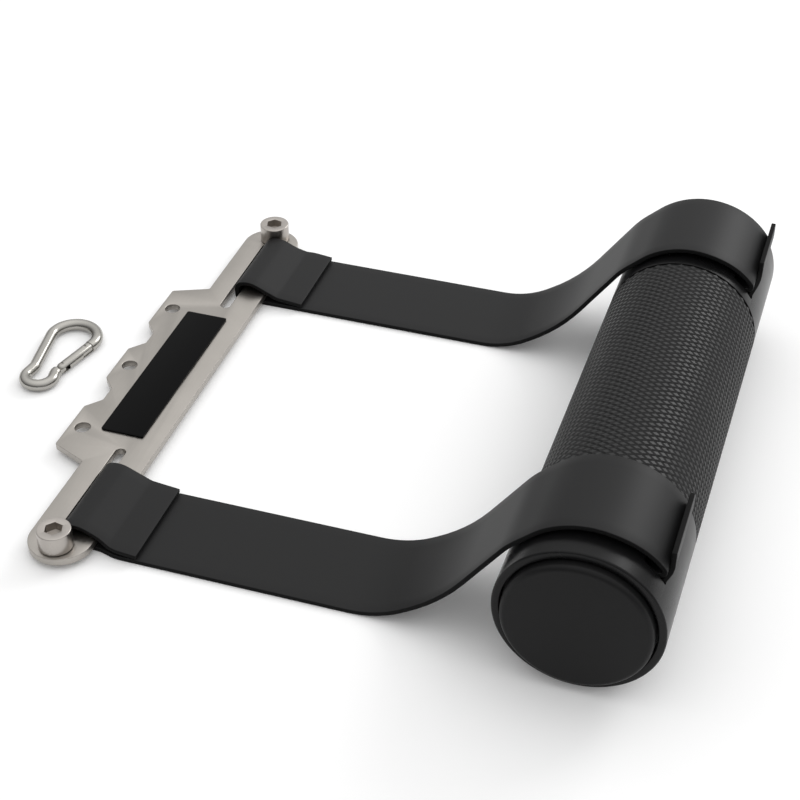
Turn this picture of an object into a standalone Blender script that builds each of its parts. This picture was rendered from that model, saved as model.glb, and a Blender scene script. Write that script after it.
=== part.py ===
# Cable wrist trainer: a slotted steel plate and a thick round handle joined by two straps
import bmesh
import bpy
from math import asin, atan2, ceil, cos, hypot, pi, radians, sin, sqrt, tan
from mathutils import Matrix, Vector

# Clearance between pieces that touch, pass through or hold each other
GAP = 0.0003

# Straps
STRAP_THICKNESS = 0.0018
STRAP_WIDTH = 0.0405
STRAP_SPACING = 0.1725
STRAP_WAIST_CUT = 0.0021
TAIL_WIDTH = 0.032
REACH = 0.18454
LAP_LENGTH = 0.0175
LAP_BOND_LENGTH = 0.009
LOOP_HEIGHT = 0.0049
LOOP_BEND_RADIUS = 0.0036
LOOP_CROWN_RADIUS = 0.009
LOOP_CROWN_LEAN = radians(20)
CROWN_SPREAD = 1.003
WRAP_SHRINK = 0.999
LAP_BEND_RADIUS = 0.006
UNDER_BEND_RADIUS = 0.002
LAP_BEND_X = 0.0075
LAP_BEND_LIFT = 0.002
RISE_RADIUS = 0.038
RISE_RUN = 0.02504
RAMP_RADIUS = 0.070
RAMP_LEAN = radians(27)
RAMP_SPREAD = 1.003
SHOULDER_EXTRA = 0.0055
SHOULDER_OFFSET_X = -0.00114
SHOULDER_OFFSET_Z = -0.0057
SPLAY = 0.0023
SPLAY_START = 0.080
SPLAY_END = 0.025
WRAP_OFFSET_X = 0.00085
WRAP_OFFSET_Z = 0.0035
TURN_RADIUS = 0.0017
TURN_PROUD = 0.00073
TURN_SIDE = 0.00065
TAIL_GAP = 0.0005
TAIL_BEND_RADIUS = 0.008
TAIL_BEND_RISE = 0.00066
TAIL_TIP_RISE = 0.00586
TAIL_TAPER_START = 0.012
TAIL_TAPER_LENGTH = 0.009
TAIL_LEAN_LENGTH = 0.012
WAIST_LENGTH = 0.010
NEAR_TAIL = (0.06, 0.0)
FAR_TAIL = (0.95, 0.0054)

# Handle
HANDLE_RADIUS = 0.030
TUBE_END_LAND = 0.0054
TUBE_WALL = 0.005
RIM_ROUND = 0.0015
RIM_WALL = 0.003
CAP_SEAT_DEPTH = 0.005
CAP_PROUD = 0.0025
CAP_GROOVE = 0.001
CAP_GROOVE_DEPTH = 0.003
CAP_EDGE_ROUND = 0.0025
GRIP_LAND = 0.0037
GRIP_THICKNESS = 0.0017
TUBE_SLOT_WIDTH = 0.0145
TUBE_SLOT_SIDE_GAP = 0.0008
TUBE_SLOT_ANGLE = radians(38.5)
ROD_RADIUS = 0.00576
ROD_INSET = 0.00887
ROD_SIDE = -0.001
ROD_OVERHANG = 0.002
ROD_CHAMFER = 0.0005

# Plate
PLATE_THICKNESS = 0.003
PLATE_EDGE = 0.0003
BAR_WIDTH = 0.025
BAR_END_MARGIN = 0.0077
STRIP_WIDTH = 0.011
SLOT_WIDTH = 0.0045
SLOT_SIDE_GAP = 0.0011
SLOT_FREE_LENGTH = 0.0142
TAB_DEPTH = 0.015
TAB_SPACING = 0.0442
CENTRE_TAB_WIDTH = 0.0214
OUTER_TAB_WIDTH = 0.0257
NOTCH_DEPTH = 0.0054
NOTCH_SLOPE = 0.0063
TAB_FLANK = 0.0065
TAB_HOLE_RADIUS = 0.0032
TAB_HOLE_EDGE = 0.00565
TAB_CORNER_RADIUS = 0.0012
NAME_PLATE_LENGTH = 0.087
NAME_PLATE_WIDTH = 0.0183
NAME_PLATE_THICKNESS = 0.0004
NAME_PLATE_INSET = 0.0083

# Screws
SCREW_HEAD_RADIUS = 0.0065
SCREW_HEAD_HEIGHT = 0.008
SCREW_HEAD_CHAMFER = 0.0005
SCREW_SHANK_RADIUS = 0.004
SCREW_KEY_WIDTH = 0.006
SCREW_KEY_DEPTH = 0.004
SCREW_INSET = 0.0122

# Snap hook, in its own frame: its gate lies along X and opens towards +Y
HOOK_WIRE = 0.005
HOOK_PLACE = (-0.0658, -0.0015)
HOOK_TURN = radians(76.2)
GATE_LINE = -0.0050
RIVET_X = -0.005
LATCH_X = 0.0098
WIDE_END = (0.0144, 0.0101)
NARROW_END = (-0.0149, -0.0011)
NARROW_END_RADIUS = 0.006
KINK = (-0.0118, 0.0100)
KINK_RADIUS = 0.0048
HEEL_BEND_RADIUS = 0.004
HEEL_BEND_X = -0.0084
TONGUE_THICKNESS = 0.0018
TONGUE_HEIGHT = 0.0036
PIN_RADIUS = 0.0008
HOOK_HEAD = 0.0023
GATE_RADIUS = 0.00235
GATE_TIP = 0.0026
GATE_BORE_RADIUS = 0.0013
GATE_BORE_LENGTH = 0.0085
SPRING_WIRE = 0.0004
SPRING_COILS = 8
PLUNGER_LENGTH = 0.0022
PLUNGER_ROUND = 0.0005

ROUND_STEPS = 64
SMALL_STEPS = 32

# Heights and places that follow from the sizes above
STRAP_MID = STRAP_THICKNESS / 2
PLATE_BOTTOM = STRAP_THICKNESS + GAP
PLATE_TOP = PLATE_BOTTOM + PLATE_THICKNESS
STRAP_Y = STRAP_SPACING / 2
STRAP_INNER = STRAP_Y - STRAP_WIDTH / 2
STRAP_OUTER = STRAP_Y + STRAP_WIDTH / 2
WAIST_OUTER = STRAP_OUTER - STRAP_WAIST_CUT
SLOT_STRAP_X = -(STRIP_WIDTH + SLOT_SIDE_GAP + STRAP_MID)
SCREW_Y = WAIST_OUTER + GAP + SCREW_HEAD_RADIUS
BAR_END_Y = SCREW_Y + BAR_END_MARGIN
BORE_RADIUS = HANDLE_RADIUS - TUBE_WALL
HANDLE_AXIS = Vector((REACH, 0, HANDLE_RADIUS))
PLATE_HINGE = Vector((-STRIP_WIDTH / 2, 0, (PLATE_BOTTOM + PLATE_TOP) / 2))
TUBE_SLOT_LENGTH = STRAP_WIDTH + 2 * TUBE_SLOT_SIDE_GAP
TUBE_SLOT_Y = STRAP_Y + SPLAY
TUBE_END_Y = TUBE_SLOT_Y + TUBE_SLOT_LENGTH / 2 + TUBE_END_LAND
GRIP_END_Y = TUBE_SLOT_Y - TUBE_SLOT_LENGTH / 2 - GRIP_LAND
FORK_REACH = GATE_RADIUS + GAP


def material(name, colour, metallic, roughness):
    mat = bpy.data.materials.new(name)
    mat.use_nodes = True
    shader = mat.node_tree.nodes["Principled BSDF"]
    shader.inputs["Base Color"].default_value = (*colour, 1)
    shader.inputs["Metallic"].default_value = metallic
    shader.inputs["Roughness"].default_value = roughness
    return mat


def add_object(name, data, group, mat=None, parent=None):
    obj = bpy.data.objects.new(name, data)
    group.objects.link(obj)
    if mat:
        data.materials.append(mat)
    obj.parent = parent
    return obj


def add_empty(name, location, group, parent=None):
    empty = add_object(name, None, group, parent=parent)
    empty.empty_display_size = 0.01
    empty.location = location
    return empty


def as_cutter(obj, cutters):
    for group in list(obj.users_collection):
        group.objects.unlink(obj)
    cutters.objects.link(obj)
    obj.hide_render = True
    obj.display_type = "WIRE"
    return obj


def apply_boolean(obj, cutter, operation="DIFFERENCE"):
    mod = obj.modifiers.new(operation.lower(), "BOOLEAN")
    mod.operation = operation
    mod.solver = "EXACT"
    mod.object = cutter


def smooth(obj, angle=radians(35)):
    obj.data.shade_smooth()
    obj.data.set_sharp_from_angle(angle=angle)


# A solid turned about its local Z; the profile runs down its outer side
def turned(name, profile, closed, steps, group, mat=None, parent=None):
    mesh = bpy.data.meshes.new(name)
    edges = [(i, i + 1) for i in range(len(profile) - 1)]
    if closed:
        edges.append((len(profile) - 1, 0))
    mesh.from_pydata([(r, 0, z) for r, z in profile], edges, [])
    obj = add_object(name, mesh, group, mat, parent)
    screw = obj.modifiers.new("turn", "SCREW")
    screw.axis = "Z"
    screw.angle = 2 * pi
    screw.steps = steps
    screw.render_steps = steps
    screw.use_merge_vertices = True
    screw.merge_threshold = 0.00001
    return obj


# A block from its size, placed by its centre
def block(name, size, location, group, mat=None, parent=None):
    mesh = bpy.data.meshes.new(name)
    bm = bmesh.new()
    bmesh.ops.create_cube(bm, size=1, matrix=Matrix.Diagonal((*size, 1)))
    bm.to_mesh(mesh)
    bm.free()
    obj = add_object(name, mesh, group, mat, parent)
    obj.location = location
    return obj


# A cylinder or prism standing on its local Z
def rod(name, radius, length, location, steps, group, mat=None, parent=None, turn=0.0):
    mesh = bpy.data.meshes.new(name)
    bm = bmesh.new()
    bmesh.ops.create_cone(bm, cap_ends=True, segments=steps, radius1=radius, radius2=radius,
                          depth=length, matrix=Matrix.Rotation(turn, 4, "Z"))
    bm.to_mesh(mesh)
    bm.free()
    obj = add_object(name, mesh, group, mat, parent)
    obj.location = location
    return obj


def arc(centre, radius, start, end, count):
    points = []
    for i in range(count + 1):
        a = start + (end - start) * i / count
        points.append((centre[0] + radius * cos(a), centre[1] + radius * sin(a)))
    return points


# Replaces each inner corner of a chain of points by an arc of the given radius
def round_corners(chain, radius, count=3):
    rounded = []
    for i in range(1, len(chain) - 1):
        corner = Vector(chain[i])
        before = (Vector(chain[i - 1]) - corner).normalized()
        after = (Vector(chain[i + 1]) - corner).normalized()
        half = before.angle(after) / 2
        centre = corner + (before + after).normalized() * radius / sin(half)
        first = corner + before * radius / tan(half) - centre
        last = corner + after * radius / tan(half) - centre
        a0 = atan2(first.y, first.x)
        sweep = (atan2(last.y, last.x) - a0 + pi) % (2 * pi) - pi
        rounded += arc(centre, radius, a0, a0 + sweep, count)
    return rounded


# A flat piece cut from sheet: closed outlines, the first outside and the others holes
def sheet(name, outlines, thickness, group, mat=None, parent=None):
    curve = bpy.data.curves.new(name, "CURVE")
    curve.dimensions = "2D"
    curve.fill_mode = "BOTH"
    curve.extrude = thickness / 2
    for outline in outlines:
        spline = curve.splines.new("POLY")
        spline.points.add(len(outline) - 1)
        for point, (x, y) in zip(spline.points, outline):
            point.co = (x, y, 0, 1)
        spline.use_cyclic_u = True
    return curve_to_solid(add_object(name, curve, group), mat, parent)


# Turns a finished curve object into a mesh object whose caps are welded
def curve_to_solid(source, mat=None, parent=None):
    bpy.context.view_layer.update()
    name = source.name
    group = source.users_collection[0]
    seen = source.evaluated_get(bpy.context.evaluated_depsgraph_get())
    mesh = bpy.data.meshes.new_from_object(seen)
    place = source.matrix_world.copy()
    curve = source.data
    bpy.data.objects.remove(source)
    bpy.data.curves.remove(curve)
    mesh.name = name
    mesh.materials.clear()
    bm = bmesh.new()
    bm.from_mesh(mesh)
    bmesh.ops.remove_doubles(bm, verts=bm.verts, dist=0.000001)
    bmesh.ops.recalc_face_normals(bm, faces=bm.faces)
    bm.to_mesh(mesh)
    bm.free()
    obj = add_object(name, mesh, group, mat, parent)
    obj.matrix_world = place
    return obj


# The path of a belt drawn tight round circles: each is (x, z, radius, turn),
# with turn +1 where it bends to the left and -1 to the right
def belt(start, circles, end, finest=radians(9), chord=0.0011):
    stops = [(*start, 0, 1)] + circles + [(*end, 0, 1)]
    headings = []
    for a, b in zip(stops, stops[1:]):
        dx = b[0] - a[0]
        dz = b[1] - a[1]
        headings.append(atan2(dz, dx) + asin((a[3] * a[2] - b[3] * b[2]) / hypot(dx, dz)))
    path = [start]
    for i, (x, z, radius, turn) in enumerate(circles):
        sweep = (turn * (headings[i + 1] - headings[i])) % (2 * pi)
        count = max(1, ceil(sweep / max(finest, min(radians(22), chord / radius))))
        for j in range(count + 1):
            heading = headings[i] + turn * sweep * j / count
            path.append((x + turn * radius * sin(heading), z - turn * radius * cos(heading)))
    path.append(end)
    return path


# The middle line of a strap, from its lap over the plate to the tip of its tail
def strap_path():
    lap_z = STRAP_THICKNESS + GAP + STRAP_MID
    loop = (SLOT_STRAP_X + LOOP_BEND_RADIUS, PLATE_TOP + LOOP_HEIGHT - STRAP_MID - LOOP_BEND_RADIUS)
    crown_step = LOOP_CROWN_RADIUS - LOOP_BEND_RADIUS
    crown = (loop[0] + crown_step * CROWN_SPREAD * sin(LOOP_CROWN_LEAN),
             loop[1] - crown_step * CROWN_SPREAD * cos(LOOP_CROWN_LEAN))
    lap_bend = (LAP_BEND_X, PLATE_BOTTOM + LAP_BEND_LIFT + LAP_BEND_RADIUS)
    under = (SLOT_STRAP_X + UNDER_BEND_RADIUS, STRAP_MID + UNDER_BEND_RADIUS)
    place, turn, _ = slot_places()
    wrap = HANDLE_AXIS + Vector((WRAP_OFFSET_X, 0, WRAP_OFFSET_Z))
    wrap_radius = (turn - wrap).length * WRAP_SHRINK + TURN_RADIUS
    rise = Vector((HANDLE_AXIS.x - 2 * HANDLE_RADIUS - RISE_RUN, 0, STRAP_MID + RISE_RADIUS))
    ramp_step = (RAMP_RADIUS - RISE_RADIUS) * RAMP_SPREAD
    ramp = rise + Vector((-sin(RAMP_LEAN), 0, cos(RAMP_LEAN))) * ramp_step
    shoulder = HANDLE_AXIS + Vector((SHOULDER_OFFSET_X, 0, SHOULDER_OFFSET_Z))
    tail_x = turn.x + TURN_RADIUS + TAIL_GAP + STRAP_THICKNESS
    circles = [
        (*lap_bend, LAP_BEND_RADIUS, -1),
        (*crown, LOOP_CROWN_RADIUS, 1),
        (*loop, LOOP_BEND_RADIUS, 1),
        (*under, UNDER_BEND_RADIUS, 1),
        (rise.x, rise.z, RISE_RADIUS, 1),
        (ramp.x, ramp.z, RAMP_RADIUS, 1),
        (shoulder.x, shoulder.z, wrap_radius + SHOULDER_EXTRA, -1),
        (wrap.x, wrap.z, wrap_radius, -1),
        (turn.x, turn.z, TURN_RADIUS, -1),
        (place.x, place.z, ROD_RADIUS + GAP + STRAP_MID, 1),
        (tail_x - TAIL_BEND_RADIUS, turn.z + TAIL_BEND_RISE, TAIL_BEND_RADIUS, 1),
    ]
    return belt((LAP_LENGTH, lap_z), circles, (tail_x, turn.z + TAIL_TIP_RISE))


# Where the retaining rod lies, where the strap turns back, and the slot's direction
def slot_places():
    out = Vector((cos(TUBE_SLOT_ANGLE), 0, sin(TUBE_SLOT_ANGLE)))
    side = Vector((-sin(TUBE_SLOT_ANGLE), 0, cos(TUBE_SLOT_ANGLE)))
    place = HANDLE_AXIS + out * (BORE_RADIUS - ROD_INSET) + side * ROD_SIDE
    turn = HANDLE_AXIS + out * (HANDLE_RADIUS + TURN_PROUD) + side * TURN_SIDE
    return place, turn, out


# Rises smoothly from 0 to 1 as a value goes from start to end
def ease(value, start, end):
    share = min(1, max(0, (value - start) / (end - start)))
    return share * share * (3 - 2 * share)


# The strap's two edges at a station: drawn in at the plate's slot, further out at the handle
# and narrower at the tail, where the first tail value shares the narrowing between the edges
# and the second leans it
def strap_edges(x, left, tail):
    splay = SPLAY * ease(x, HANDLE_AXIS.x - SPLAY_START, HANDLE_AXIS.x - SPLAY_END)
    inner = STRAP_INNER + splay
    outer = STRAP_OUTER + splay - STRAP_WAIST_CUT * ease(x, WAIST_LENGTH, 0)
    narrowing = (STRAP_WIDTH - TAIL_WIDTH) * ease(
        left, TAIL_TAPER_START, TAIL_TAPER_START - TAIL_TAPER_LENGTH)
    lean = tail[1] * max(0, 1 - left / TAIL_LEAN_LENGTH)
    return inner + narrowing * tail[0] + lean, outer - narrowing * (1 - tail[0]) + lean


# A strap: an open ribbon along its path, given its thickness on both sides
def strap(name, side, group, cutters, mat, parent, tail):
    path = strap_path()
    lengths = [0]
    for a, b in zip(path, path[1:]):
        lengths.append(lengths[-1] + hypot(b[0] - a[0], b[1] - a[1]))
    total = lengths[-1]
    bm = bmesh.new()
    rows = []
    for (x, z), travelled in zip(path, lengths):
        edges = strap_edges(x, total - travelled, tail)
        rows.append([bm.verts.new((x, side * y, z)) for y in edges])
    for a, b in zip(rows, rows[1:]):
        bm.faces.new((a[0], a[1], b[1], b[0]))
    mesh = bpy.data.meshes.new(name)
    bm.to_mesh(mesh)
    bm.free()
    obj = add_object(name, mesh, group, mat, parent)
    thicken = obj.modifiers.new("thickness", "SOLIDIFY")
    thicken.thickness = STRAP_THICKNESS
    thicken.offset = 0
    thicken.use_even_offset = True
    bond_size = (LAP_BOND_LENGTH, STRAP_WIDTH - 2 * GAP, STRAP_MID)
    bond_place = (LAP_LENGTH - GAP - LAP_BOND_LENGTH / 2, side * STRAP_Y, STRAP_THICKNESS + GAP)
    bond = as_cutter(block(name + "_bond", bond_size, bond_place, group, parent=parent), cutters)
    apply_boolean(obj, bond, "UNION")
    return obj


# The plate's outline, drawn on its +Y half and mirrored
def plate_outline():
    tab_x = -(BAR_WIDTH + TAB_DEPTH)
    notch_x = tab_x + NOTCH_DEPTH
    outer_low = TAB_SPACING - OUTER_TAB_WIDTH / 2
    outer_high = TAB_SPACING + OUTER_TAB_WIDTH / 2
    end_radius = BAR_WIDTH / 2
    tabs = [
        (-BAR_WIDTH, outer_high + TAB_FLANK),
        (tab_x, outer_high),
        (tab_x, outer_low),
        (notch_x, outer_low - NOTCH_SLOPE),
        (notch_x, CENTRE_TAB_WIDTH / 2 + NOTCH_SLOPE),
        (tab_x, CENTRE_TAB_WIDTH / 2),
    ]
    tabs += [(x, -y) for x, y in reversed(tabs)]
    top = arc((-end_radius, BAR_END_Y - end_radius), end_radius, 0, pi, 20)
    bottom = arc((-end_radius, end_radius - BAR_END_Y), end_radius, pi, 2 * pi, 20)
    return top + round_corners([top[-1]] + tabs + [bottom[0]], TAB_CORNER_RADIUS) + bottom


def circle(x, y, radius, count=SMALL_STEPS):
    return arc((x, y), radius, 0, 2 * pi, count)[:-1]


# A strap slot with round ends, from its free inner end to just past the strap
def slot_outline(side):
    half = SLOT_WIDTH / 2
    x = -(STRIP_WIDTH + half)
    low = STRAP_INNER - SLOT_FREE_LENGTH + half
    high = WAIST_OUTER + GAP
    inner = arc((x, low), half, pi, 2 * pi, 8)
    outline = inner + [(x + half, high), (x - half, high)]
    return [(a, side * b) for a, b in outline]


def anchor_plate(group, mat, hinge):
    holes = [circle(-(BAR_WIDTH + TAB_DEPTH) + TAB_HOLE_EDGE, y, TAB_HOLE_RADIUS, 24)
             for y in (-TAB_SPACING, 0, TAB_SPACING)]
    slots = [slot_outline(side) for side in (-1, 1)]
    bolt_holes = [circle(-SCREW_INSET, side * SCREW_Y, SCREW_SHANK_RADIUS) for side in (-1, 1)]
    outlines = [plate_outline()] + holes + slots + bolt_holes
    obj = sheet("anchor_plate", outlines, PLATE_THICKNESS, group, mat)
    obj.data.transform(Matrix.Translation((-PLATE_HINGE.x, 0, 0)))
    obj.parent = hinge
    edge = obj.modifiers.new("edge", "BEVEL")
    edge.width = PLATE_EDGE
    edge.segments = 1
    edge.limit_method = "ANGLE"
    edge.angle_limit = radians(60)
    return obj


def name_plate(group, mat, hinge):
    size = (NAME_PLATE_WIDTH, NAME_PLATE_LENGTH, NAME_PLATE_THICKNESS)
    place = Vector((-NAME_PLATE_INSET - NAME_PLATE_WIDTH / 2, 0,
                    PLATE_TOP + GAP + NAME_PLATE_THICKNESS / 2))
    return block("name_plate", size, place - PLATE_HINGE, group, mat, hinge)


# A socket head screw whose shank fills the plate's hole
def cap_screw(name, side, group, cutters, mat, hinge):
    place = Vector((-SCREW_INSET, side * SCREW_Y, PLATE_TOP + GAP)) - PLATE_HINGE
    shank = PLATE_THICKNESS + GAP
    c = SCREW_HEAD_CHAMFER
    profile = [
        (0, SCREW_HEAD_HEIGHT),
        (SCREW_HEAD_RADIUS - c, SCREW_HEAD_HEIGHT),
        (SCREW_HEAD_RADIUS, SCREW_HEAD_HEIGHT - c),
        (SCREW_HEAD_RADIUS, 0),
        (SCREW_SHANK_RADIUS - GAP, 0),
        (SCREW_SHANK_RADIUS - GAP, -shank),
        (0, -shank),
    ]
    obj = turned(name, profile, False, SMALL_STEPS, group, mat, hinge)
    obj.location = place
    key = rod(name + "_key", SCREW_KEY_WIDTH / sqrt(3), SCREW_KEY_DEPTH * 2, place, 6,
              group, parent=hinge)
    key.location.z += SCREW_HEAD_HEIGHT
    apply_boolean(obj, as_cutter(key, cutters))
    smooth(obj)
    return obj


# The handle's tube, with seats for the caps and a recess for the grip
def handle_tube(group, cutters, mat, parent):
    half = TUBE_END_Y
    recess = GRIP_END_Y
    recess_radius = HANDLE_RADIUS - GRIP_THICKNESS - GAP
    seat_radius = HANDLE_RADIUS - RIM_WALL
    corner = (HANDLE_RADIUS - RIM_ROUND, half - RIM_ROUND)
    rim = arc(corner, RIM_ROUND, pi / 2, 0, 4)
    upper = [(seat_radius, half - CAP_SEAT_DEPTH), (seat_radius, half)] + rim
    upper += [(HANDLE_RADIUS, recess), (recess_radius, recess)]
    inner_top = [(BORE_RADIUS, half - CAP_SEAT_DEPTH)]
    lower = [(r, -z) for r, z in reversed(inner_top + upper)]
    profile = inner_top + upper + lower
    obj = turned("handle_tube", profile, True, ROUND_STEPS, group, mat, parent)
    obj.rotation_euler.x = -pi / 2
    _, _, out = slot_places()
    for side, label in ((-1, "near"), (1, "far")):
        size = (HANDLE_RADIUS, TUBE_SLOT_LENGTH, TUBE_SLOT_WIDTH)
        place = out * (HANDLE_RADIUS / 2 + BORE_RADIUS / 2)
        place.y = side * TUBE_SLOT_Y
        window = block(label + "_slot_cut", size, place, group, parent=parent)
        window.rotation_euler.y = -TUBE_SLOT_ANGLE
        apply_boolean(obj, as_cutter(window, cutters))
    smooth(obj)
    return obj


def grip_sleeve(group, mat, parent):
    half = GRIP_END_Y - GAP
    inside = HANDLE_RADIUS - GRIP_THICKNESS
    profile = [(inside, half), (HANDLE_RADIUS, half), (HANDLE_RADIUS, -half), (inside, -half)]
    obj = turned("grip_sleeve", profile, True, ROUND_STEPS, group, mat, parent)
    obj.rotation_euler.x = -pi / 2
    smooth(obj)
    return obj


# An end cap: a plug in the tube's seat and a rounded face inside a narrow groove
def end_cap(name, side, group, mat, parent):
    plug = HANDLE_RADIUS - RIM_WALL - GAP
    face = HANDLE_RADIUS - RIM_WALL - CAP_GROOVE
    depth = CAP_SEAT_DEPTH - GAP
    rounding = arc((face - CAP_EDGE_ROUND, CAP_PROUD - CAP_EDGE_ROUND), CAP_EDGE_ROUND, pi / 2, 0, 5)
    profile = [(0, CAP_PROUD)] + rounding
    profile += [(face, -CAP_GROOVE_DEPTH), (plug, -CAP_GROOVE_DEPTH)]
    profile += [(plug, -depth), (0, -depth)]
    obj = turned(name, profile, False, ROUND_STEPS, group, mat, parent)
    obj.location = (0, side * TUBE_END_Y, 0)
    obj.rotation_euler.x = -side * pi / 2
    smooth(obj)
    return obj


# The rod that a strap goes round inside the tube, too wide with its strap for the slot;
# it reaches from behind the slot's inner end to just short of the cap
def retaining_rod(name, side, group, mat, parent):
    place, _, _ = slot_places()
    inner = TUBE_SLOT_Y - TUBE_SLOT_LENGTH / 2 - ROD_OVERHANG
    outer = TUBE_END_Y - CAP_SEAT_DEPTH - GAP
    half = (outer - inner) / 2
    c = ROD_CHAMFER
    profile = [(0, half), (ROD_RADIUS - c, half), (ROD_RADIUS, half - c)]
    profile += [(r, -z) for r, z in reversed(profile)]
    obj = turned(name, profile, False, SMALL_STEPS, group, mat, parent)
    obj.location = place - HANDLE_AXIS
    obj.location.y = side * (inner + outer) / 2
    obj.rotation_euler.x = -pi / 2
    smooth(obj)
    return obj


# The middle line of the snap hook's wire, from its nose round both ends to its heel
def hook_path():
    wide_radius = WIDE_END[1]
    wide = (WIDE_END[0], GATE_LINE + wide_radius, wide_radius, 1)
    kink = (*KINK, KINK_RADIUS, -1)
    narrow = (*NARROW_END, NARROW_END_RADIUS, 1)
    heel = (HEEL_BEND_X, GATE_LINE - HEEL_BEND_RADIUS, HEEL_BEND_RADIUS, -1)
    nose = (LATCH_X + GATE_TIP + GAP, GATE_LINE)
    tip = (RIVET_X - FORK_REACH - GAP, GATE_LINE)
    return belt(nose, [wide, kink, narrow, heel], tip, radians(12), 0.0022)


# The hook's body: bent round wire with a flat tongue at each end of its gap
def carabiner_body(group, cutters, mat, parent):
    curve = bpy.data.curves.new("carabiner_body", "CURVE")
    curve.dimensions = "3D"
    curve.bevel_depth = HOOK_WIRE / 2
    curve.bevel_resolution = 4
    curve.use_fill_caps = True
    path = hook_path()
    spline = curve.splines.new("POLY")
    spline.points.add(len(path) - 1)
    for point, (x, y) in zip(spline.points, path):
        point.co = (x, y, 0, 1)
    wire = curve_to_solid(add_object("carabiner_body", curve, group), mat)
    wire.parent = parent
    tongues = [("heel", heel_tongue()), ("nose", nose_tongue())]
    for label, outlines in tongues:
        tongue = sheet("hook_" + label, outlines, TONGUE_THICKNESS, group)
        tongue.parent = parent
        apply_boolean(wire, as_cutter(tongue, cutters), "UNION")
    smooth(wire)
    return wire


# The heel's tongue carries the rivet and its end is round about it
def heel_tongue():
    half = TONGUE_HEIGHT / 2
    root = RIVET_X - FORK_REACH - GAP - HOOK_WIRE / 2
    outline = arc((RIVET_X, GATE_LINE), half, -pi / 2, pi / 2, 10)
    outline += [(root, GATE_LINE + half), (root, GATE_LINE - half)]
    return [outline, circle(RIVET_X, GATE_LINE, PIN_RADIUS + GAP, 16)]


# The nose's tongue has a notch, open to the inside, that the gate's pin drops into
def nose_tongue():
    half = TONGUE_HEIGHT / 2
    root = LATCH_X + GATE_TIP + GAP + HOOK_WIRE / 2
    tip = LATCH_X - PIN_RADIUS - HOOK_HEAD
    slack = PIN_RADIUS + GAP
    bottom = GATE_LINE - slack
    notch = [
        (LATCH_X + slack, GATE_LINE + half),
        (LATCH_X + slack, bottom),
        (LATCH_X - slack - GAP, bottom),
        (LATCH_X - slack - GAP, GATE_LINE + half),
    ]
    return [[(root, GATE_LINE + half)] + notch + [
        (tip, GATE_LINE + half), (tip, GATE_LINE - half), (root, GATE_LINE - half)]]


# The gate: a round bar forked at both ends, bored for its spring and round about its rivet
def carabiner_gate(group, cutters, mat, parent):
    latch = LATCH_X - RIVET_X
    end = latch + GATE_TIP
    profile = [(0, end), (GATE_RADIUS - GAP, end), (GATE_RADIUS, end - GAP)]
    profile += arc((0, 0), GATE_RADIUS, 0, -pi / 2, 6)
    gate = turned("carabiner_gate", profile, False, 24, group, mat, parent)
    gate.rotation_euler.y = pi / 2
    gap = TONGUE_THICKNESS + 2 * GAP
    span = GATE_RADIUS * 3
    mouth = latch - PIN_RADIUS - HOOK_HEAD - 2 * GAP
    cuts = [
        block("heel_fork_cut", (FORK_REACH * 2, span, gap), (0, 0, 0), group, parent=parent),
        block("nose_fork_cut", (GATE_TIP * 4, span, gap), (mouth + GATE_TIP * 2, 0, 0),
              group, parent=parent),
        rod("rivet_hole_cut", PIN_RADIUS + GAP, span, (0, 0, 0), 16, group, parent=parent),
        rod("latch_hole_cut", PIN_RADIUS + GAP, span, (latch, 0, 0), 16, group, parent=parent),
        rod("spring_bore_cut", GATE_BORE_RADIUS, GATE_BORE_LENGTH * 2, (0, 0, 0), 16,
            group, parent=parent),
    ]
    cuts[-1].data.transform(Matrix.Rotation(pi / 2, 4, "Y"))
    for cut in cuts:
        apply_boolean(gate, as_cutter(cut, cutters))
    smooth(gate)
    return gate


# A straight pin through both ears of a fork
def cross_pin(name, location, group, mat, parent):
    length = 2 * sqrt(GATE_RADIUS ** 2 - (PIN_RADIUS + GAP) ** 2)
    pin = rod(name, PIN_RADIUS, length, location, 16, group, mat, parent)
    smooth(pin)
    return pin


# The plunger between the spring and the heel's tongue, with a rounded nose
def gate_plunger(group, mat, parent):
    radius = GATE_BORE_RADIUS - GAP
    nose = TONGUE_HEIGHT / 2 + GAP
    rounding = arc((radius - PLUNGER_ROUND, -PLUNGER_ROUND), PLUNGER_ROUND, pi / 2, 0, 3)
    profile = [(0, 0)] + rounding
    profile += [(radius, -PLUNGER_LENGTH), (0, -PLUNGER_LENGTH)]
    obj = turned("gate_plunger", profile, False, 16, group, mat, parent)
    obj.location = (nose, 0, 0)
    obj.rotation_euler.y = -pi / 2
    smooth(obj)
    return obj


# The compression spring between the plunger and the end of the gate's bore
def gate_spring(group, mat, parent):
    start = TONGUE_HEIGHT / 2 + GAP + PLUNGER_LENGTH + GAP + SPRING_WIRE / 2
    end = GATE_BORE_LENGTH - GAP - SPRING_WIRE / 2
    radius = GATE_BORE_RADIUS - GAP - SPRING_WIRE / 2
    curve = bpy.data.curves.new("gate_spring", "CURVE")
    curve.dimensions = "3D"
    curve.bevel_depth = SPRING_WIRE / 2
    curve.bevel_resolution = 1
    curve.use_fill_caps = True
    count = SPRING_COILS * 8
    spline = curve.splines.new("POLY")
    spline.points.add(count)
    for i, point in enumerate(spline.points):
        a = 2 * pi * SPRING_COILS * i / count
        x = start + (end - start) * i / count
        point.co = (x, radius * cos(a), radius * sin(a), 1)
    obj = curve_to_solid(add_object("gate_spring", curve, group), mat)
    obj.parent = parent
    return obj


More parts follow.
